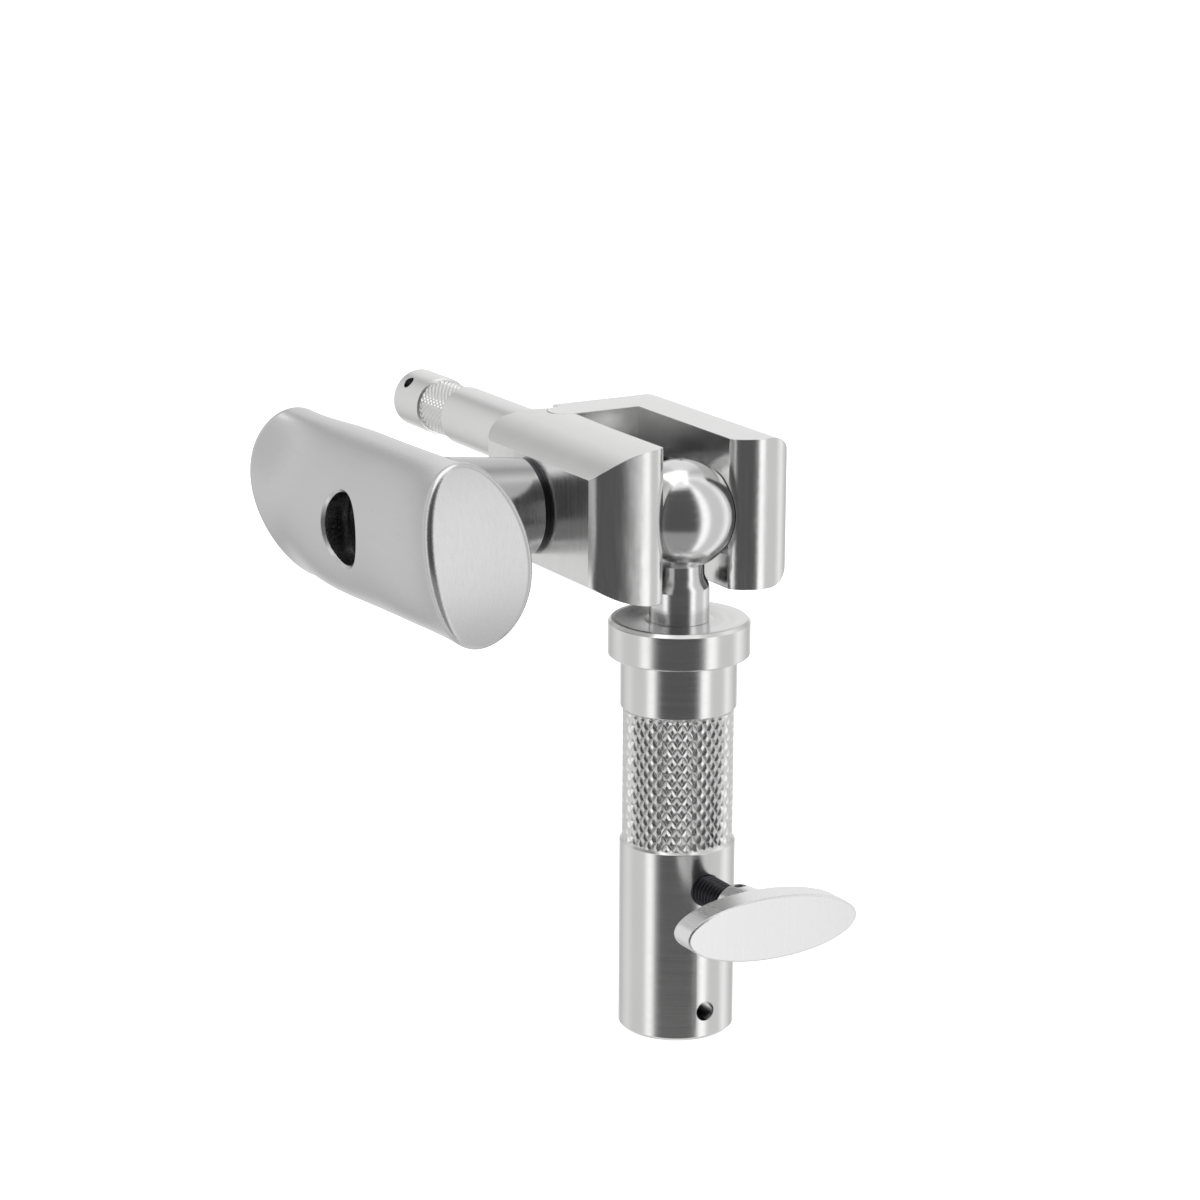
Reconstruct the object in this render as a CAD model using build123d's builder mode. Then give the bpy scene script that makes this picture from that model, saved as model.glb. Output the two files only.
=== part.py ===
from build123d import *
from math import cos, radians, sin, sqrt
import os

# Ball-jaw swivel head: a baby receiver with a ball stud, gripped by a two-jaw clamp
# that carries a baby pin. Millimetres, +Z up the receiver bore, origin at the bore's mouth.
# The jaws open towards -Y, the baby pin points to +Y and the clamp screw runs along X.

# Receiver barrel
BARREL_R = 28.575 / 2
FLANGE_R = 17.4
FLANGE_Z = 95.6
BARREL_TOP = 104.6
KNURL_R = 13.65
KNURL_Z = (48.9, 82.1)
BORE_R = 8.06
BORE_DEPTH = 62.0
CHAMBER_R = 7.6
CHAMBER_TOP = 74.0
DISH_R = 15.6
SEAT_R = 8.6
SEAT_Z = 104.1
EDGE = 0.8

# Lock screw of the receiver, along Y
LOCK_Z = 38.8
LOCK_SCREW_R = 5 / 16 * 25.4 / 2
LOCK_HOLE_R = LOCK_SCREW_R + 0.05
LOCK_TIP_Y = -8.9
LOCK_TIP_R = 3.1
LOCK_TIP_LENGTH = 1.8
LOCK_SPIGOT_R = 1.5
LOCK_SPIGOT_LENGTH = 3.0
LOCK_HUB_Y = -27.0
LOCK_HUB_R = (6.9, 5.8)
LOCK_PLATE_Y = (-44.9, -37.4)
LOCK_OVAL = (23.6, 7.8)
LOCK_TURN = 2.0
LOCK_PIN_R = 1.5
LOCK_PIN_Y = -29.6
LOCK_PIN_LENGTH = 10.8

# Hitch-pin hole through the receiver, along Y
HITCH_Z = 7.3
HITCH_R = 2.45

# Ball stud
BALL_R = 13.45
BALL_Z = 130.3
NECK_R = 6.0
NECK_Z = 116.2
STEM_R = 7.35
STEM_Z = 111.9
SHANK_R = 6.35
SHANK_END = 67.5
RING_Z = (70.9, 72.1)
RING_GROOVE_R = 5.6
RING_R = 7.2
WASHER_Z = (72.2, 73.9)
WASHER_R = 7.4
TURN_GAP = 0.05

# Jaws
JAW_HALF_HEIGHT = 19.05
SLOT_HALF = 9.2
FAR_OUTER_X = 26.2
NEAR_OUTER_X = -28.0
BRIDGE_Y = (35.9, 47.9)
FAR_FLOOR_Z = 112.2
FAR_CROWN_R = 8.0
POCKET_R = BALL_R + 0.15
PIVOT = (-9.0, 40.4)
NOSE_R = 4.6
NOSE_GAP = 0.15
BRIDGE_END_X = -8.5
CROWN_START = -11.0
CROWN_R = 25.0
FLOOR_CROWN = 0.82
NEAR_INNER_X = -9.8

# Clamp screw and its handle, along X
SCREW_Y = 25.5
SCREW_R = 6.35
SCREW_END_X = 23.5
WASHER_X = (-29.05, -28.05)
COLLAR_X = (-49.9, -29.15)
COLLAR_R = (14.3, 12.0)
HANDLE_X = -66.0
HANDLE_BODY = (13.0, 20.6)
HANDLE_RIM_ROUND = 1.8
HANDLE_RIM_Y = 43.6
HANDLE_END_Y = 48.0
HANDLE_TURN = 1.5
HANDLE_FACE_X = -13.0
# Oval sections of the handle: y, half depth, half height, lean of the top towards -X in degrees
HANDLE_SECTIONS = (
    (-54.0, 13.8, 24.4, 12.0),
    (-46.0, 13.3, 23.4, 11.0),
    (-37.0, 12.8, 21.5, 6.0),
    (-26.0, 13.0, 20.6, 1.0),
    (0.0, 13.0, 20.6, 0.0),
    (26.0, 13.0, 20.6, 2.0),
    (37.0, 12.8, 21.6, 12.0),
    (46.0, 13.3, 23.8, 19.0),
    (54.0, 13.8, 24.8, 20.0),
)
HEAD_HOLE_R = 8.8
HEAD_HOLE_CHAMFER = 0.75
HEAD_R = 8.55
HEAD_SEAT = 3.0
HEAD_LENGTH = 9.0
BOSS_R = 14.4
BOSS_END = 16.0
CROSS_PIN_X = 9.0
CROSS_PIN_R = 2.0

# Baby pin, along Y
PIN_R = 15.875 / 2
PIN_X = 8.0
PIN_END_Y = 155.3
PIN_GROOVE_Y = (126.4, 140.0)
PIN_GROOVE_R = 7.25
PIN_TENON_R = 5.0
PIN_HOLE_Y = 149.6
PIN_HOLE_R = 1.75


def along_y(x, z, y=0.0):
    """Plane at height y whose normal points to +Y, with world Z up in the sketch."""
    return Plane(origin=(x, y, z), x_dir=(-1, 0, 0), z_dir=(0, 1, 0))


def along_x(y, z, x=0.0):
    """Plane at x whose normal points to +X, with world Z up in the sketch."""
    return Plane(origin=(x, y, z), x_dir=(0, 1, 0), z_dir=(1, 0, 0))


def receiver_barrel():
    with BuildPart() as barrel:
        with BuildSketch(Plane.XZ):
            with BuildLine():
                Polyline(
                    (BORE_R + 0.5, 0),
                    (BARREL_R - EDGE, 0),
                    (BARREL_R, EDGE),
                    (BARREL_R, KNURL_Z[0] - 0.65),
                    (KNURL_R, KNURL_Z[0]),
                    (KNURL_R, KNURL_Z[1]),
                    (BARREL_R, KNURL_Z[1] + 0.65),
                    (BARREL_R, FLANGE_Z),
                    (FLANGE_R - 0.3, FLANGE_Z),
                    (FLANGE_R, FLANGE_Z + 0.3),
                    (FLANGE_R, BARREL_TOP - EDGE),
                    (FLANGE_R - EDGE, BARREL_TOP),
                    (DISH_R, BARREL_TOP),
                    (SEAT_R, SEAT_Z),
                    (SHANK_R + TURN_GAP, SEAT_Z),
                    (SHANK_R + TURN_GAP, CHAMBER_TOP),
                    (CHAMBER_R, CHAMBER_TOP),
                    (CHAMBER_R, BORE_DEPTH),
                    (BORE_R, BORE_DEPTH),
                    (BORE_R, 0.5),
                    close=True,
                )
            make_face()
        revolve(axis=Axis.Z)
        # Tapped hole for the lock screw, through the front wall only
        with BuildSketch(along_y(0, LOCK_Z, -BARREL_R - 1)):
            Circle(LOCK_HOLE_R)
        extrude(amount=BARREL_R, mode=Mode.SUBTRACT)
        # Hitch-pin hole through both walls
        with BuildSketch(along_y(0, HITCH_Z, -BARREL_R - 1)):
            Circle(HITCH_R)
        extrude(amount=2 * BARREL_R + 2, mode=Mode.SUBTRACT)
    barrel.part.label = "receiver_barrel"
    return barrel.part


def ball_stud():
    with BuildPart() as stud:
        neck_top = BALL_Z - sqrt(BALL_R**2 - NECK_R**2)
        with BuildSketch(Plane.XZ):
            with BuildLine():
                Polyline(
                    (0, BALL_Z + BALL_R),
                    (0, SHANK_END),
                    (SHANK_R - 0.8, SHANK_END),
                    (SHANK_R, SHANK_END + 0.8),
                    (SHANK_R, RING_Z[0] - 0.05),
                    (RING_GROOVE_R, RING_Z[0] - 0.05),
                    (RING_GROOVE_R, RING_Z[1] + 0.05),
                    (SHANK_R, RING_Z[1] + 0.05),
                    (SHANK_R, SEAT_Z + TURN_GAP),
                    (STEM_R, SEAT_Z + TURN_GAP),
                    (STEM_R, STEM_Z),
                )
                Spline((STEM_R, STEM_Z), (NECK_R, NECK_Z), tangents=((0, 1), (0, 1)))
                Line((NECK_R, NECK_Z), (NECK_R, neck_top))
                ThreePointArc((NECK_R, neck_top), (BALL_R, BALL_Z), (0, BALL_Z + BALL_R))
            make_face()
        revolve(axis=Axis.Z)
        # Centre-drill mark of the lathe on top of the ball
        with BuildSketch(Plane.XY.offset(BALL_Z + BALL_R - 1.6)):
            Circle(0.35)
        extrude(amount=3, taper=-20, mode=Mode.SUBTRACT)
    stud.part.label = "ball_stud"
    return stud.part


def stud_washer():
    with BuildPart() as washer:
        with BuildSketch(Plane.XY.offset(WASHER_Z[0])):
            Circle(WASHER_R)
            Circle(SHANK_R + TURN_GAP, mode=Mode.SUBTRACT)
        extrude(amount=WASHER_Z[1] - WASHER_Z[0])
    washer.part.label = "stud_washer"
    return washer.part


def stud_retaining_ring():
    """Open snap ring in the groove of the stud's shank."""
    with BuildPart() as ring:
        with BuildSketch(Plane.XY.offset(RING_Z[0])):
            Circle(RING_R)
            Circle(RING_GROOVE_R, mode=Mode.SUBTRACT)
            with Locations((0, RING_R)):
                Rectangle(2.4, 2 * RING_R - 2, mode=Mode.SUBTRACT)
        extrude(amount=RING_Z[1] - RING_Z[0])
    ring.part.label = "stud_retaining_ring"
    return ring.part


def far_jaw():
    """Main body: far arm, bridge with the fulcrum nose, ball pocket and tapped hole."""
    top = BALL_Z + JAW_HALF_HEIGHT
    round_x = FAR_OUTER_X - FAR_CROWN_R
    with BuildPart() as jaw:
        with BuildSketch(Plane.XY.offset(FAR_FLOOR_Z)):
            with BuildLine():
                Line((SLOT_HALF, BRIDGE_Y[0]), (SLOT_HALF, -7.2))
                Spline(
                    (SLOT_HALF, -7.2),
                    (10.3, -9.1),
                    (12.3, -10.7),
                    (14.8, -11.6),
                    (17.6, -11.7),
                    (21.6, -10.7),
                    (24.6, -8.6),
                    (FAR_OUTER_X, -5.0),
                )
                Polyline(
                    (FAR_OUTER_X, -5.0),
                    (FAR_OUTER_X, BRIDGE_Y[1]),
                    (BRIDGE_END_X, BRIDGE_Y[1]),
                    (BRIDGE_END_X, BRIDGE_Y[0]),
                    (SLOT_HALF, BRIDGE_Y[0]),
                )
            make_face()
        extrude(amount=top - FAR_FLOOR_Z)
        back_corner = jaw.edges().filter_by(Axis.Z).sort_by(Axis.Y)[-2:].sort_by(Axis.X)[-1]
        fillet(back_corner, 6.0)
        # Large rounds along the top and bottom of the outer face
        with BuildSketch(Plane.XZ.offset(-60)):
            with BuildLine():
                Polyline(
                    (round_x, top),
                    (BRIDGE_END_X - 1, top),
                    (BRIDGE_END_X - 1, FAR_FLOOR_Z),
                    (round_x, FAR_FLOOR_Z),
                )
                RadiusArc((round_x, FAR_FLOOR_Z), (FAR_OUTER_X, FAR_FLOOR_Z + FAR_CROWN_R), -FAR_CROWN_R)
                Line((FAR_OUTER_X, FAR_FLOOR_Z + FAR_CROWN_R), (FAR_OUTER_X, top - FAR_CROWN_R))
                RadiusArc((FAR_OUTER_X, top - FAR_CROWN_R), (round_x, top), -FAR_CROWN_R)
            make_face()
        extrude(amount=80, mode=Mode.INTERSECT)
        # Half-round fulcrum nose at the end of the bridge
        with BuildSketch(Plane.XY.offset(FAR_FLOOR_Z)):
            with Locations(PIVOT):
                Circle(NOSE_R)
        extrude(amount=top - FAR_FLOOR_Z)
        with Locations((0, 0, BALL_Z)):
            Sphere(POCKET_R, mode=Mode.SUBTRACT)
        with BuildSketch(along_x(SCREW_Y, BALL_Z)):
            Circle(SCREW_R + TURN_GAP)
        extrude(amount=FAR_OUTER_X + 1, mode=Mode.SUBTRACT)
        with BuildSketch(along_y(PIN_X, BALL_Z, BRIDGE_Y[0] - 1)):
            Circle(PIN_TENON_R)
        extrude(amount=BRIDGE_Y[1] - BRIDGE_Y[0] + 2, mode=Mode.SUBTRACT)
    jaw.part.label = "far_jaw"
    return jaw.part


def near_jaw():
    """Loose jaw with crowned outer edges, rocking on the bridge's nose."""
    top = BALL_Z + JAW_HALF_HEIGHT
    floor = BALL_Z - JAW_HALF_HEIGHT
    crown_drop = CROWN_R - sqrt(CROWN_R**2 - (CROWN_START - NEAR_OUTER_X) ** 2)
    mid_x = (CROWN_START + NEAR_OUTER_X) / 2
    mid_drop = CROWN_R - sqrt(CROWN_R**2 - (CROWN_START - mid_x) ** 2)
    with BuildPart() as jaw:
        with BuildSketch(Plane.XY.offset(floor)):
            with BuildLine():
                Polyline(
                    (-SLOT_HALF, 42.8),
                    (-SLOT_HALF, 33.0),
                    (NEAR_INNER_X, 15.0),
                    (NEAR_INNER_X, -8.2),
                )
                Spline(
                    (NEAR_INNER_X, -8.2),
                    (-13.4, -9.8),
                    (-17.7, -9.5),
                    (-23.8, -7.9),
                    (-26.3, -6.4),
                    (NEAR_OUTER_X, -4.4),
                )
                Line((NEAR_OUTER_X, -4.4), (NEAR_OUTER_X, 41.0))
                ThreePointArc((NEAR_OUTER_X, 41.0), (-26.3, 48.3), (-21.6, 51.0))
                Line((-21.6, 51.0), (-SLOT_HALF, 42.8))
            make_face()
        extrude(amount=2 * JAW_HALF_HEIGHT)
        with BuildSketch(Plane.XZ.offset(-60)):
            with BuildLine():
                Polyline(
                    (CROWN_START, top),
                    (0, top),
                    (0, floor),
                    (CROWN_START, floor),
                )
                ThreePointArc(
                    (CROWN_START, floor),
                    (mid_x, floor + mid_drop * FLOOR_CROWN),
                    (NEAR_OUTER_X, floor + crown_drop * FLOOR_CROWN),
                )
                Line((NEAR_OUTER_X, floor + crown_drop * FLOOR_CROWN), (NEAR_OUTER_X, top - crown_drop))
                ThreePointArc(
                    (NEAR_OUTER_X, top - crown_drop),
                    (mid_x, top - mid_drop),
                    (CROWN_START, top),
                )
            make_face()
        extrude(amount=80, mode=Mode.INTERSECT)
        # Groove that rides on the nose, ball pocket and clearance hole for the screw
        with BuildSketch(Plane.XY.offset(floor - 1)):
            with Locations(PIVOT):
                Circle(NOSE_R + NOSE_GAP)
        extrude(amount=2 * JAW_HALF_HEIGHT + 2, mode=Mode.SUBTRACT)
        with Locations((0, 0, BALL_Z)):
            Sphere(POCKET_R, mode=Mode.SUBTRACT)
        with BuildSketch(along_x(SCREW_Y, BALL_Z, NEAR_OUTER_X - 1)):
            Circle(SCREW_R + 1.25)
        extrude(amount=NEAR_OUTER_X * -1, mode=Mode.SUBTRACT)
    jaw.part.label = "near_jaw"
    return jaw.part


def jaw_spring():
    """Light compression spring on the screw between the two jaws."""
    wire_r = 0.6
    coil_r = 7.6
    length = 2 * SLOT_HALF - 0.9
    turns = 5.5
    pitch = (length - 2 * wire_r) / turns
    start = (-length / 2 + wire_r, SCREW_Y, BALL_Z)
    height = length - 2 * wire_r
    with BuildPart() as spring:
        with BuildLine():
            coil = Helix(pitch=pitch, height=height, radius=coil_r, center=start, direction=(1, 0, 0))
        with BuildSketch(Plane(origin=coil @ 0, z_dir=coil % 0)):
            Circle(wire_r)
        sweep(path=coil, is_frenet=True)
    spring.part.label = "jaw_spring"
    return spring.part


def baby_pin():
    with BuildPart() as pin:
        with BuildSketch(Plane(origin=(PIN_X, 0, BALL_Z))):
            with BuildLine():
                Polyline(
                    (0, BRIDGE_Y[0] + 0.4),
                    (PIN_TENON_R, BRIDGE_Y[0] + 0.4),
                    (PIN_TENON_R, BRIDGE_Y[1]),
                    (PIN_R, BRIDGE_Y[1]),
                    (PIN_R, PIN_GROOVE_Y[0] - 0.6),
                    (PIN_GROOVE_R, PIN_GROOVE_Y[0]),
                    (PIN_GROOVE_R, PIN_GROOVE_Y[1]),
                    (PIN_R, PIN_GROOVE_Y[1] + 0.1),
                    (PIN_R, PIN_END_Y - 1.2),
                    (PIN_R - 1.2, PIN_END_Y),
                    (0, PIN_END_Y),
                    close=True,
                )
            make_face()
        revolve(axis=Axis((PIN_X, 0, BALL_Z), (0, 1, 0)))
        slant = Plane(origin=(PIN_X, PIN_HOLE_Y, BALL_Z), z_dir=(-1, 0, 1))
        with BuildSketch(slant.offset(-PIN_R - 1)):
            Circle(PIN_HOLE_R)
        extrude(amount=2 * PIN_R + 2, mode=Mode.SUBTRACT)
    pin.part.label = "baby_pin"
    return pin.part


def thrust_washer():
    with BuildPart() as washer:
        with BuildSketch(along_x(SCREW_Y, BALL_Z, WASHER_X[0])):
            Circle(COLLAR_R[1] - 0.5)
            Circle(SCREW_R + 0.1, mode=Mode.SUBTRACT)
        extrude(amount=WASHER_X[1] - WASHER_X[0])
    washer.part.label = "thrust_washer"
    return washer.part


def thrust_collar():
    """Conical sleeve between the handle and the near jaw."""
    with BuildPart() as collar:
        with BuildSketch(Plane(origin=(0, SCREW_Y, BALL_Z))):
            with BuildLine():
                Polyline(
                    (COLLAR_X[0], SCREW_R + 0.1),
                    (COLLAR_X[0], COLLAR_R[0] - 0.4),
                    (COLLAR_X[0] + 0.4, COLLAR_R[0]),
                    (COLLAR_X[1] - 0.4, COLLAR_R[1]),
                    (COLLAR_X[1], COLLAR_R[1] - 0.4),
                    (COLLAR_X[1], SCREW_R + 0.1),
                    close=True,
                )
            make_face()
        revolve(axis=Axis((0, SCREW_Y, BALL_Z), (1, 0, 0)))
    collar.part.label = "thrust_collar"
    return collar.part


def handle_place():
    """Where the clamp handle's own frame sits: on the screw's axis, turned to its rest angle."""
    return Location((HANDLE_X, SCREW_Y, BALL_Z), (-HANDLE_TURN, 0, 0))


def clamp_handle():
    """T-handle of oval section, its flared ends leaning, drawn about its own centre."""
    with BuildPart() as handle:
        for y, depth, height, lean in HANDLE_SECTIONS:
            turn = radians(lean)
            with BuildSketch(Plane(origin=(0, y, 0), x_dir=(cos(turn), 0, sin(turn)), z_dir=(0, 1, 0))):
                Ellipse(depth, height)
        loft()
        # Both ends are turned about the screw's axis
        with BuildSketch(Plane.YZ.offset(-BARREL_R - 10)):
            Circle(HANDLE_END_Y)
        extrude(amount=2 * BARREL_R + 20, mode=Mode.INTERSECT)
        rims = handle.edges().filter_by(lambda e: abs(e.center().Y) > HANDLE_RIM_Y - 2)
        fillet(rims, HANDLE_RIM_ROUND)
        # Rear boss on the screw's axis
        with BuildSketch(Plane.YZ):
            Circle(BOSS_R)
        extrude(amount=BOSS_END)
        # Chamfered head hole in front and the screw's hole behind it
        with BuildSketch(Plane.YZ.offset(HANDLE_FACE_X - 2)):
            Circle(HEAD_HOLE_R)
        extrude(amount=HEAD_SEAT + 2 - HANDLE_FACE_X, mode=Mode.SUBTRACT)
        mouth = handle.edges().filter_by(lambda e: e.center().X < HANDLE_FACE_X * 0.7)
        chamfer(mouth.sort_by(lambda e: abs(e.center().Y))[0], HEAD_HOLE_CHAMFER)
        with BuildSketch(Plane.YZ):
            Circle(SCREW_R)
        extrude(amount=BOSS_END + 1, mode=Mode.SUBTRACT)
        with BuildSketch(Plane.XY.offset(-BOSS_R - 1)):
            with Locations((CROSS_PIN_X, 0)):
                Circle(CROSS_PIN_R)
        extrude(amount=2 * BOSS_R + 2, mode=Mode.SUBTRACT)
    placed = handle_place() * handle.part
    placed.label = "clamp_handle"
    return placed


def clamp_screw():
    """Round-headed screw with a hex socket; its head sits deep in the handle."""
    length = SCREW_END_X - HANDLE_X
    with BuildPart() as screw:
        with BuildSketch(Plane.XY):
            with BuildLine():
                Polyline(
                    (HEAD_SEAT - HEAD_LENGTH, 0),
                    (HEAD_SEAT - HEAD_LENGTH, HEAD_R - 0.6),
                    (HEAD_SEAT - HEAD_LENGTH + 0.6, HEAD_R),
                    (HEAD_SEAT, HEAD_R),
                    (HEAD_SEAT, SCREW_R),
                    (length - 1.2, SCREW_R),
                    (length, SCREW_R - 1.2),
                    (length, 0),
                    close=True,
                )
            make_face()
        revolve(axis=Axis.X)
        with BuildSketch(Plane.YZ.offset(HEAD_SEAT - HEAD_LENGTH - 1)):
            RegularPolygon(radius=5.0, side_count=6, major_radius=False)
        extrude(amount=6.0, mode=Mode.SUBTRACT)
        with BuildSketch(Plane.XY.offset(-BOSS_R)):
            with Locations((CROSS_PIN_X, 0)):
                Circle(CROSS_PIN_R)
        extrude(amount=2 * BOSS_R, mode=Mode.SUBTRACT)
    placed = handle_place() * screw.part
    placed.label = "clamp_screw"
    return placed


def handle_cross_pin():
    """Pressed pin that ties the handle to its screw."""
    with BuildPart() as pin:
        with BuildSketch(Plane.XY.offset(-BOSS_R + 1.5)):
            with Locations((CROSS_PIN_X, 0)):
                Circle(CROSS_PIN_R)
        extrude(amount=2 * BOSS_R - 3)
    placed = handle_place() * pin.part
    placed.label = "handle_cross_pin"
    return placed


def lock_plane(y):
    """Plane of the lock handle at y, facing the barrel and turned to its rest angle."""
    turn = radians(LOCK_TURN)
    return Plane(origin=(0, y, LOCK_Z), x_dir=(-cos(turn), 0, sin(turn)), z_dir=(0, 1, 0))


def lock_handle():
    """Oval wing handle with a short round hub."""
    with BuildPart() as handle:
        with BuildSketch(lock_plane(LOCK_PLATE_Y[0])):
            Ellipse(*LOCK_OVAL)
        extrude(amount=LOCK_PLATE_Y[1] - LOCK_PLATE_Y[0])
        fillet(handle.edges().sort_by(Axis.Y)[-1], 1.0)
        chamfer(handle.edges().sort_by(Axis.Y)[0], 0.35)
        with BuildSketch(Plane.XY.offset(LOCK_Z)):
            with BuildLine():
                Polyline(
                    (0, LOCK_PLATE_Y[1] - 1),
                    (LOCK_HUB_R[0], LOCK_PLATE_Y[1] - 1),
                    (LOCK_HUB_R[0], LOCK_PLATE_Y[1]),
                    (LOCK_HUB_R[1], LOCK_HUB_Y - 0.5),
                    (LOCK_HUB_R[1] - 0.5, LOCK_HUB_Y),
                    (0, LOCK_HUB_Y),
                    close=True,
                )
            make_face()
        revolve(axis=Axis((0, 0, LOCK_Z), (0, 1, 0)))
        with BuildSketch(lock_plane(LOCK_PLATE_Y[0] + 3)):
            Circle(LOCK_SCREW_R)
        extrude(amount=20, mode=Mode.SUBTRACT)
        with BuildSketch(Plane.XY.offset(LOCK_Z - 10)):
            with Locations((0, LOCK_PIN_Y)):
                Circle(LOCK_PIN_R)
        extrude(amount=20, mode=Mode.SUBTRACT)
    handle.part.label = "lock_handle"
    return handle.part


def lock_screw():
    """Black threaded shaft of the receiver's lock."""
    tip_y = LOCK_TIP_Y - LOCK_TIP_LENGTH - TURN_GAP
    tail_y = LOCK_PLATE_Y[0] + 3.1
    with BuildPart() as screw:
        with BuildSketch(lock_plane(tail_y)):
            Circle(LOCK_SCREW_R)
        extrude(amount=tip_y - tail_y)
        chamfer(screw.edges().sort_by(Axis.Y)[-1], 0.7)
        with BuildSketch(lock_plane(tip_y - LOCK_SPIGOT_LENGTH - 0.1)):
            Circle(LOCK_SPIGOT_R + TURN_GAP)
        extrude(amount=5, mode=Mode.SUBTRACT)
        with BuildSketch(Plane.XY.offset(LOCK_Z - 10)):
            with Locations((0, LOCK_PIN_Y)):
                Circle(LOCK_PIN_R)
        extrude(amount=20, mode=Mode.SUBTRACT)
    screw.part.label = "lock_screw"
    return screw.part


def lock_roll_pin():
    with BuildPart() as pin:
        with BuildSketch(Plane.XY.offset(LOCK_Z - LOCK_PIN_LENGTH / 2)):
            with Locations((0, LOCK_PIN_Y)):
                Circle(LOCK_PIN_R)
        extrude(amount=LOCK_PIN_LENGTH)
    pin.part.label = "lock_roll_pin"
    return pin.part


def lock_tip():
    """Brass pad that swivels on the screw's end and presses on the mating pin."""
    with BuildPart() as tip:
        with BuildSketch(lock_plane(LOCK_TIP_Y - LOCK_TIP_LENGTH)):
            Circle(LOCK_TIP_R)
        extrude(amount=LOCK_TIP_LENGTH)
        chamfer(tip.edges().sort_by(Axis.Y)[-1], 0.5)
        with BuildSketch(lock_plane(LOCK_TIP_Y - LOCK_TIP_LENGTH - LOCK_SPIGOT_LENGTH)):
            Circle(LOCK_SPIGOT_R)
        extrude(amount=LOCK_SPIGOT_LENGTH)
    tip.part.label = "lock_tip"
    return tip.part


os.makedirs("parts", exist_ok=True)
makers = (
    receiver_barrel,
    ball_stud,
    stud_washer,
    stud_retaining_ring,
    far_jaw,
    near_jaw,
    jaw_spring,
    baby_pin,
    thrust_washer,
    thrust_collar,
    clamp_handle,
    clamp_screw,
    handle_cross_pin,
    lock_handle,
    lock_screw,
    lock_roll_pin,
    lock_tip,
)
for maker in makers:
    piece = maker()
    export_step(piece, f"parts/{piece.label}.step")
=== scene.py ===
import math

import bpy
from mathutils import Matrix, Vector


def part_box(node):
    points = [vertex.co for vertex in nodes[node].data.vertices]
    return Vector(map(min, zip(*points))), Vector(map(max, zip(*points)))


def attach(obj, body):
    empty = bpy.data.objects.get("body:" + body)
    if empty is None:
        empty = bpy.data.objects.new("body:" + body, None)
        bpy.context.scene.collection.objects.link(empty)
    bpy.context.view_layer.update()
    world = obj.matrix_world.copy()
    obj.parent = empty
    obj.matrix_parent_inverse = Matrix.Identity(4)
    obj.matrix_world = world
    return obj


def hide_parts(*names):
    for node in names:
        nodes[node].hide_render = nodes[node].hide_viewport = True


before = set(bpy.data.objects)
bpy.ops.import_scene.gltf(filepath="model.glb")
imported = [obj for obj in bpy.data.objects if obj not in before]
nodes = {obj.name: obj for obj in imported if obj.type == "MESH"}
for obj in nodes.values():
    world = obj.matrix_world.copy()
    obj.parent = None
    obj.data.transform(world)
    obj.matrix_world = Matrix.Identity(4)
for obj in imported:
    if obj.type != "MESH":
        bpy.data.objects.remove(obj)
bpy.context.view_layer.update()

MM = 0.001

# Camera: metres and degrees; pan is clockwise seen from above, tilt is down from the horizon
CAMERA_PLACE = (-0.4331, -0.7166, 0.3320)
CAMERA_LENS = 107.16
CAMERA_PAN = 29.83
CAMERA_TILT = 14.93
CAMERA_ROLL = 0.23

# Knurls and thread, in millimetres. The bands' places and radii are those of the CAD nodes.
BARREL_BAND = (48.9, 82.1)
BARREL_BAND_R = 13.65
BARREL_KNURL_DEPTH = 0.52
BARREL_STARTS = 34
BARREL_PITCH = 4.05
PIN_BAND = (126.4, 140.0)
PIN_BAND_R = 7.25
PIN_KNURL_DEPTH = 0.3
PIN_STARTS = 30
PIN_PITCH = 1.9
INCH = 25.4
THREAD_PITCH = INCH / 18
THREAD_R = INCH * 5 / 32
THREAD_DEPTH = 0.8
THREAD_START_Y = -28.0

# Studio: the tent's brightness by azimuth, as (degrees from the camera's side, brightness)
TENT = (
    (-180, 0.68), (-165, 0.66), (-148, 0.40), (-132, 0.55), (-114, 0.66), (-96, 0.54),
    (-68, 0.54), (-59, 0.95), (-50, 0.95), (-41, 0.22), (-32, 0.075), (0, 0.075),
    (32, 0.075), (41, 0.22), (48, 1.0), (59, 1.0), (68, 0.54), (96, 0.54),
    (111, 0.85), (128, 0.6), (148, 0.40), (165, 0.66), (180, 0.68),
)
TENT_TURN = 31.1
TENT_STRENGTH = 1.4
GROUND_GREY = 0.27
FLOOR_HALF = 8.0
FLOOR_DROP = 0.5 * MM


# Camera ------------------------------------------------------------------------------------

def add_camera():
    """The photograph's viewpoint: a long lens, 15 degrees above the horizon."""
    data = bpy.data.cameras.new("main_camera")
    data.sensor_width = 36.0
    data.lens = CAMERA_LENS
    data.clip_end = 50.0
    camera = bpy.data.objects.new("main_camera", data)
    camera.location = CAMERA_PLACE
    pan = Matrix.Rotation(math.radians(-CAMERA_PAN), 3, "Z")
    tilt = Matrix.Rotation(math.radians(90 - CAMERA_TILT), 3, "X")
    roll = Matrix.Rotation(math.radians(CAMERA_ROLL), 3, "Z")
    camera.rotation_euler = (pan @ tilt @ roll).to_euler()
    bpy.context.scene.collection.objects.link(camera)
    bpy.context.scene.camera = camera


# Node helpers ------------------------------------------------------------------------------

def new_material(name):
    material = bpy.data.materials.new(name)
    material.use_nodes = True
    tree = material.node_tree
    shader = tree.nodes["Principled BSDF"]
    return material, tree, shader


def link(tree, source, target):
    tree.links.new(source, target)


def object_coords(tree, scale):
    """Object coordinates stretched by scale, for a texture."""
    coords = tree.nodes.new("ShaderNodeTexCoord")
    mapping = tree.nodes.new("ShaderNodeMapping")
    mapping.inputs["Scale"].default_value = scale
    link(tree, coords.outputs["Object"], mapping.inputs["Vector"])
    return mapping.outputs["Vector"]


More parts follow.
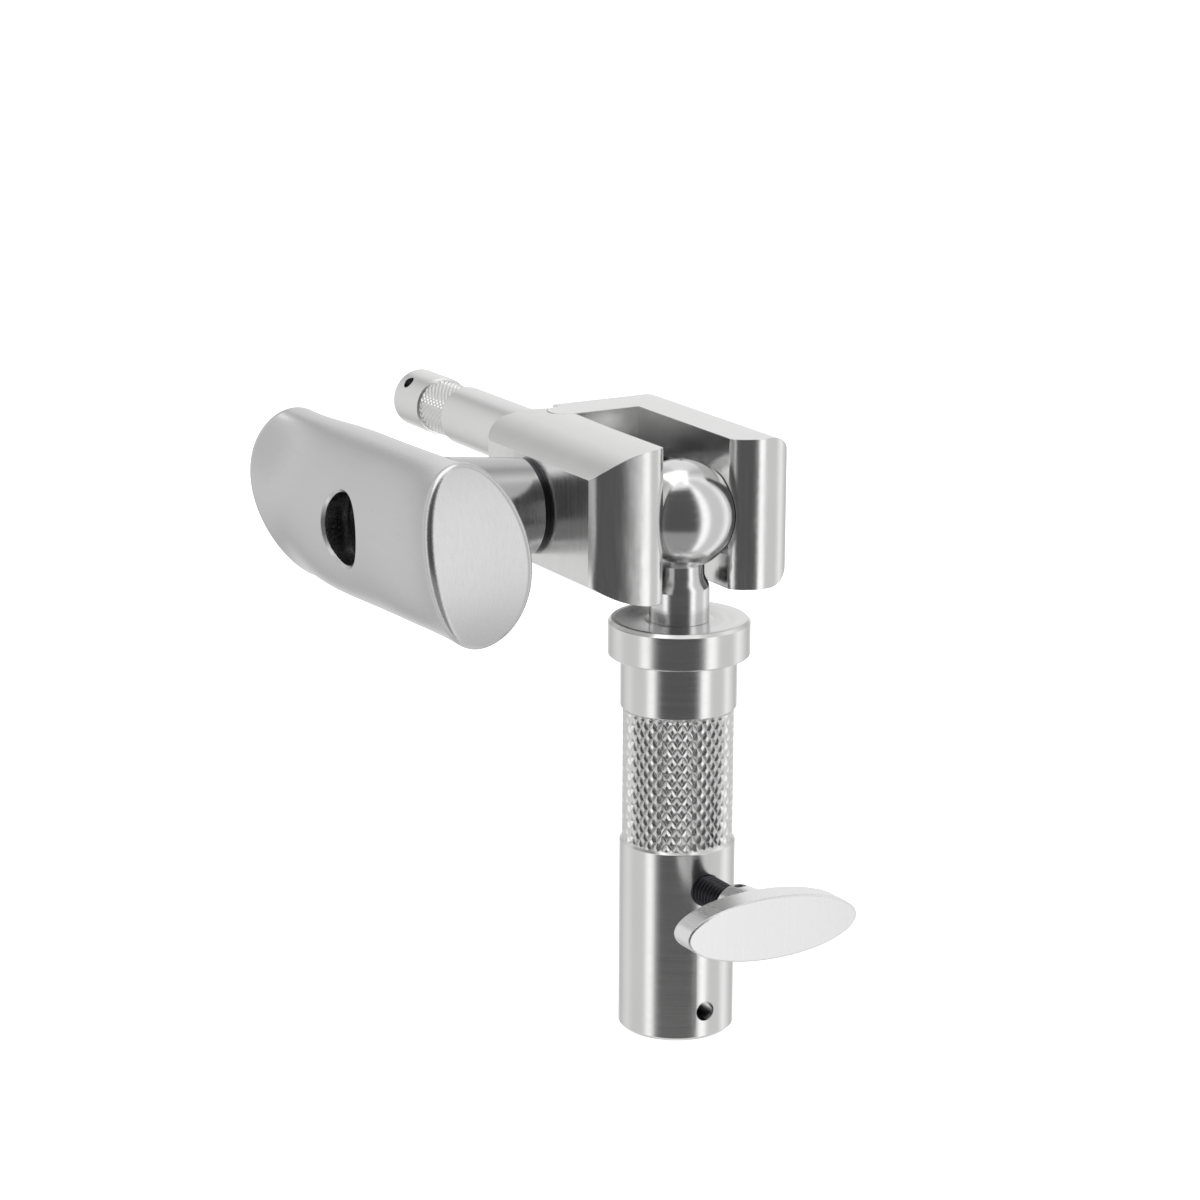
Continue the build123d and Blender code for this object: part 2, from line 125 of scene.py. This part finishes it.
def noise(tree, vector, scale, detail=2.0):
    texture = tree.nodes.new("ShaderNodeTexNoise")
    texture.inputs["Scale"].default_value = scale
    texture.inputs["Detail"].default_value = detail
    link(tree, vector, texture.inputs["Vector"])
    return texture.outputs["Fac"]


def spread(tree, value, low, high):
    """Maps a noise's middle range, where most of it lies, onto low..high."""
    mapped = tree.nodes.new("ShaderNodeMapRange")
    mapped.inputs["From Min"].default_value = 0.3
    mapped.inputs["From Max"].default_value = 0.7
    mapped.inputs["To Min"].default_value = low
    mapped.inputs["To Max"].default_value = high
    link(tree, value, mapped.inputs["Value"])
    return mapped.outputs["Result"]


def metal(name, tint, rough, grain, depth, edge=0.25, blotch=0.06, swing=0.05):
    """Metal with fine tool lines. grain is the lines' frequency along X, Y and Z; depth is the
    lines' height and edge the rounding of sharp edges, both in millimetres. blotch darkens the
    tint in clouds, and swing is how far the lines vary the roughness."""
    material, tree, shader = new_material(name)
    shader.inputs["Metallic"].default_value = 1.0
    lines = noise(tree, object_coords(tree, grain), 1.0, 4.0)
    clouds = noise(tree, object_coords(tree, (1, 1, 1)), 70.0, 3.0)
    shade = tree.nodes.new("ShaderNodeMix")
    shade.data_type = "RGBA"
    shade.inputs["A"].default_value = tuple(c * (1 - blotch) for c in tint) + (1,)
    shade.inputs["B"].default_value = tuple(tint) + (1,)
    link(tree, clouds, shade.inputs["Factor"])
    link(tree, shade.outputs["Result"], shader.inputs["Base Color"])
    link(tree, spread(tree, lines, rough - swing, rough + swing), shader.inputs["Roughness"])
    bevel = tree.nodes.new("ShaderNodeBevel")
    bevel.samples = 4
    bevel.inputs["Radius"].default_value = edge * MM
    bump = tree.nodes.new("ShaderNodeBump")
    bump.inputs["Distance"].default_value = depth * MM
    link(tree, lines, bump.inputs["Height"])
    link(tree, bevel.outputs["Normal"], bump.inputs["Normal"])
    link(tree, bump.outputs["Normal"], shader.inputs["Normal"])
    return material


def paint(material, *names):
    for name in names:
        mesh = nodes[name].data
        mesh.materials.clear()
        mesh.materials.append(material)


# Geometry helpers --------------------------------------------------------------------------

def new_piece(name, verts, faces, material, smooth_angle=None):
    data = bpy.data.meshes.new(name)
    data.from_pydata(verts, [], faces)
    if smooth_angle is not None:
        data.shade_smooth()
        data.set_sharp_from_angle(angle=math.radians(smooth_angle))
    data.materials.append(material)
    piece = bpy.data.objects.new(name, data)
    bpy.context.scene.collection.objects.link(piece)
    return piece


def tooth(value):
    """Triangle wave: 0 on whole numbers, 1 halfway between them."""
    return 1 - abs(2 * (value % 1) - 1)


def knurl_grid(radius, depth, starts, length, pitch, columns, flank):
    """Diamond knurl with flat crests, on a cylinder about Z from 0 to length, in millimetres.
    A diamond is columns steps wide, and a groove's side takes flank of them; the diagonals
    follow the grooves and the crests' borders."""
    around = starts * columns
    rows = max(2, round(length / pitch * columns))
    verts = []
    faces = []
    for row in range(rows + 1):
        height = length * row / rows
        end = row in (0, rows)
        for column in range(around):
            angle = 2 * math.pi * column / around
            rise = min(tooth((column + row) / columns), tooth((column - row) / columns))
            r = radius if end else radius - depth * (1 - min(1, rise * columns / (2 * flank)))
            verts.append((r * math.cos(angle), r * math.sin(angle), height))
    for row in range(rows):
        for column in range(around):
            a = row * around + column
            b = row * around + (column + 1) % around
            c = a + around
            d = b + around
            up = (column + row + 1) % columns
            down = (column - row) % columns
            if up == 0 or (down != 0 and up in (flank, columns - flank)):
                faces += [(a, b, c), (b, d, c)]
            else:
                faces += [(a, b, d), (a, d, c)]
    return verts, faces


def without_band(node, inside):
    """Vertices and faces of a CAD node, in metres, less the faces whose vertices all pass
    inside."""
    mesh = nodes[node].data
    gone = [inside(v.co) for v in mesh.vertices]
    faces = [tuple(p.vertices) for p in mesh.polygons if not all(gone[i] for i in p.vertices)]
    used = sorted({i for f in faces for i in f})
    place = {old: new for new, old in enumerate(used)}
    verts = [tuple(mesh.vertices[i].co) for i in used]
    return verts, [tuple(place[i] for i in f) for f in faces]


def with_knurl(name, node, band, grid, axis, material, start, centre):
    """A copy of a CAD node whose smooth band is swapped for the knurled grid. The band lies
    along axis from start, in millimetres, about centre, in metres."""
    verts, faces = without_band(node, band)
    offset = len(verts)
    for x, y, z in grid[0]:
        if axis == "Z":
            verts.append((centre[0] + x * MM, centre[1] + y * MM, (start + z) * MM))
        else:
            verts.append((centre[0] + x * MM, (start + z) * MM, centre[2] - y * MM))
    faces += [tuple(i + offset for i in f) for f in grid[1]]
    return new_piece(name, verts, faces, material, 24)


def in_band(radius, along, band_radius, band):
    """Whether a point at this radius and place lies on the band's surface, in millimetres."""
    return abs(radius - band_radius) < 0.05 and band[0] - 0.1 < along < band[1] + 0.1


def knurled_barrel(material):
    """The receiver barrel, with a real diamond knurl on its grip band."""
    low, high = BARREL_BAND

    def band(co):
        return in_band(math.hypot(co.x, co.y) / MM, co.z / MM, BARREL_BAND_R, BARREL_BAND)

    grid = knurl_grid(BARREL_BAND_R, BARREL_KNURL_DEPTH, BARREL_STARTS, high - low,
                      BARREL_PITCH, 10, 3)
    piece = with_knurl("barrel_knurled", "receiver_barrel", band, grid, "Z", material, low,
                       (0, 0, 0))
    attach(piece, "receiver")
    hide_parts("receiver_barrel")


def knurled_pin(material):
    """The baby pin, with a fine knurl in its undercut."""
    low, high = PIN_BAND
    corner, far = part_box("baby_pin")
    centre = ((corner.x + far.x) / 2, 0, (corner.z + far.z) / 2)

    def band(co):
        radius = math.hypot(co.x - centre[0], co.z - centre[2]) / MM
        return in_band(radius, co.y / MM, PIN_BAND_R, PIN_BAND)

    grid = knurl_grid(PIN_BAND_R, PIN_KNURL_DEPTH, PIN_STARTS, high - low, PIN_PITCH, 6, 2)
    piece = with_knurl("pin_knurled", "baby_pin", band, grid, "Y", material, low, centre)
    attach(piece, "clamp_head")
    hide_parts("baby_pin")


def threaded_screw(material):
    """The lock screw with its 5/16-18 thread. Its tail, which sits in the hub, is plain."""
    around = 48
    per_turn = 8
    low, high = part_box("lock_screw")
    tip = high.y / MM
    tail = low.y / MM
    height = (low.z + high.z) / 2 / MM
    length = tip - THREAD_START_Y
    rows = round(length / THREAD_PITCH * per_turn)
    levels = [(tail, None)]
    for row in range(rows + 1):
        levels.append((THREAD_START_Y + length * row / rows, row))
    verts = []
    for y, row in levels:
        for column in range(around):
            angle = 2 * math.pi * column / around
            radius = THREAD_R
            if row is not None and row > 0:
                turns = (y - THREAD_START_Y) / THREAD_PITCH + column / around
                rise = min(1, 1.25 * tooth(turns))
                radius = THREAD_R - THREAD_DEPTH * (1 - rise)
                radius = min(radius, THREAD_R - 0.7 + (tip - y))
            x = radius * math.cos(angle)
            z = height + radius * math.sin(angle)
            verts.append((x * MM, y * MM, z * MM))
    faces = []
    for level in range(len(levels) - 1):
        for column in range(around):
            a = level * around + column
            b = level * around + (column + 1) % around
            faces.append((a, a + around, b + around, b))
    faces.append(tuple(range(around)))
    last = (len(levels) - 1) * around
    faces.append(tuple(reversed(range(last, last + around))))
    piece = new_piece("lock_screw_threaded", verts, faces, material, 40)
    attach(piece, "small_handle")
    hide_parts("lock_screw")


# Studio ------------------------------------------------------------------------------------

def add_world():
    """A light tent: pale all round, with a dark opening on the camera's side and a grey ground.
    A camera ray that misses the object sees plain white."""
    world = bpy.data.worlds.new("studio")
    world.use_nodes = True
    bpy.context.scene.world = world
    tree = world.node_tree
    background = tree.nodes["Background"]
    coords = tree.nodes.new("ShaderNodeTexCoord")
    mapping = tree.nodes.new("ShaderNodeMapping")
    mapping.inputs["Rotation"].default_value = (0, 0, math.radians(90 + TENT_TURN))
    link(tree, coords.outputs["Generated"], mapping.inputs["Vector"])
    gradient = tree.nodes.new("ShaderNodeTexGradient")
    gradient.gradient_type = "RADIAL"
    link(tree, mapping.outputs["Vector"], gradient.inputs["Vector"])
    ramp = tree.nodes.new("ShaderNodeValToRGB")
    link(tree, gradient.outputs["Fac"], ramp.inputs["Fac"])
    elements = ramp.color_ramp.elements
    while len(elements) < len(TENT):
        elements.new(0.5)
    for element, (degrees, value) in zip(elements, TENT):
        element.position = 0.5 + degrees / 360
        element.color = (value, value, value, 1)
    # Ground seen in reflections that point well down
    parts = tree.nodes.new("ShaderNodeSeparateXYZ")
    link(tree, coords.outputs["Generated"], parts.inputs["Vector"])
    below = tree.nodes.new("ShaderNodeMapRange")
    below.inputs["From Min"].default_value = -0.40
    below.inputs["From Max"].default_value = -0.44
    link(tree, parts.outputs["Z"], below.inputs["Value"])
    ground = tree.nodes.new("ShaderNodeMix")
    ground.data_type = "RGBA"
    ground.blend_type = "LIGHTEN"
    ground.inputs["B"].default_value = (GROUND_GREY, GROUND_GREY, GROUND_GREY, 1)
    link(tree, below.outputs["Result"], ground.inputs["Factor"])
    link(tree, ramp.outputs["Color"], ground.inputs["A"])
    path = tree.nodes.new("ShaderNodeLightPath")
    seen = tree.nodes.new("ShaderNodeMix")
    seen.data_type = "RGBA"
    seen.inputs["B"].default_value = (1, 1, 1, 1)
    link(tree, path.outputs["Is Camera Ray"], seen.inputs["Factor"])
    link(tree, ground.outputs["Result"], seen.inputs["A"])
    link(tree, seen.outputs["Result"], background.inputs["Color"])
    background.inputs["Strength"].default_value = TENT_STRENGTH


def add_floor():
    """A white floor that the metal doesn't reflect; the tent's ground stands in for it there."""
    data = bpy.data.meshes.new("floor")
    half = FLOOR_HALF
    corners = [(-half, -half, 0), (half, -half, 0), (half, half, 0), (-half, half, 0)]
    data.from_pydata(corners, [], [(0, 1, 2, 3)])
    floor = bpy.data.objects.new("floor", data)
    floor.location.z = -FLOOR_DROP
    bpy.context.scene.collection.objects.link(floor)
    material, tree, shader = new_material("floor_white")
    shader.inputs["Base Color"].default_value = (0.8, 0.8, 0.8, 1)
    shader.inputs["Roughness"].default_value = 0.9
    shader.inputs["Emission Color"].default_value = (1, 1, 1, 1)
    shader.inputs["Emission Strength"].default_value = 0.8
    data.materials.append(material)
    floor.visible_glossy = False


def add_softbox(name, place, target, size, power):
    data = bpy.data.lights.new(name, "AREA")
    data.shape = "RECTANGLE"
    data.size, data.size_y = size
    data.energy = power
    lamp = bpy.data.objects.new(name, data)
    lamp.location = place
    aim = Vector(target) - Vector(place)
    lamp.rotation_euler = aim.to_track_quat("-Z", "Y").to_euler()
    bpy.context.scene.collection.objects.link(lamp)


add_camera()
add_world()
add_floor()
add_softbox("top_box", (-0.2, 0.1, 1.1), (0, 0, 0.1), (0.9, 0.9), 2.5)
bpy.context.scene.view_settings.view_transform = "Standard"

STEEL = (0.74, 0.74, 0.735)
turned_z = metal("steel_turned_barrel", STEEL, 0.2, (40, 40, 9000), 0.006)
turned_y = metal("steel_turned_pin", STEEL, 0.22, (40, 9000, 40), 0.006)
turned_x = metal("steel_turned_collar", (0.5, 0.5, 0.5), 0.2, (9000, 40, 40), 0.006)
milled = metal("steel_brushed_jaws", STEEL, 0.2, (90, 2600, 90), 0.012, edge=0.3)
satin = metal("steel_satin_handle", (0.6, 0.6, 0.6), 0.26, (2500, 60, 400), 0.004,
              edge=0.3, blotch=0.05, swing=0.02)
# The lock wing is the same satin steel as the handle, with a brighter, plainer tint: painted
# light, not a different finish.
wing = metal("steel_satin_wing_painted_light", (0.82, 0.82, 0.82), 0.28, (1800, 60, 60), 0.0015,
             edge=0.3, blotch=0.04, swing=0.015)
polished = metal("steel_polished_ball", (0.74, 0.74, 0.74), 0.19, (40, 40, 5000), 0.008, edge=0.1)
black = metal("black_oxide", (0.05, 0.05, 0.055), 0.32, (900, 900, 900), 0.01, edge=0.2)
spring = metal("spring_steel", (0.45, 0.45, 0.46), 0.25, (3000, 300, 300), 0.004, edge=0.1)
brass = metal("brass", (0.75, 0.58, 0.3), 0.3, (60, 6000, 60), 0.006, edge=0.2)

paint(turned_z, "receiver_barrel")
paint(turned_y, "baby_pin")
paint(turned_x, "thrust_collar")
paint(milled, "far_jaw", "near_jaw")
paint(satin, "clamp_handle")
paint(wing, "lock_handle")
paint(polished, "ball_stud")
paint(spring, "jaw_spring", "stud_retaining_ring")
paint(black, "clamp_screw", "lock_screw", "thrust_washer", "stud_washer", "handle_cross_pin",
      "lock_roll_pin")
paint(brass, "lock_tip")

knurled_barrel(turned_z)
knurled_pin(turned_y)
threaded_screw(black)
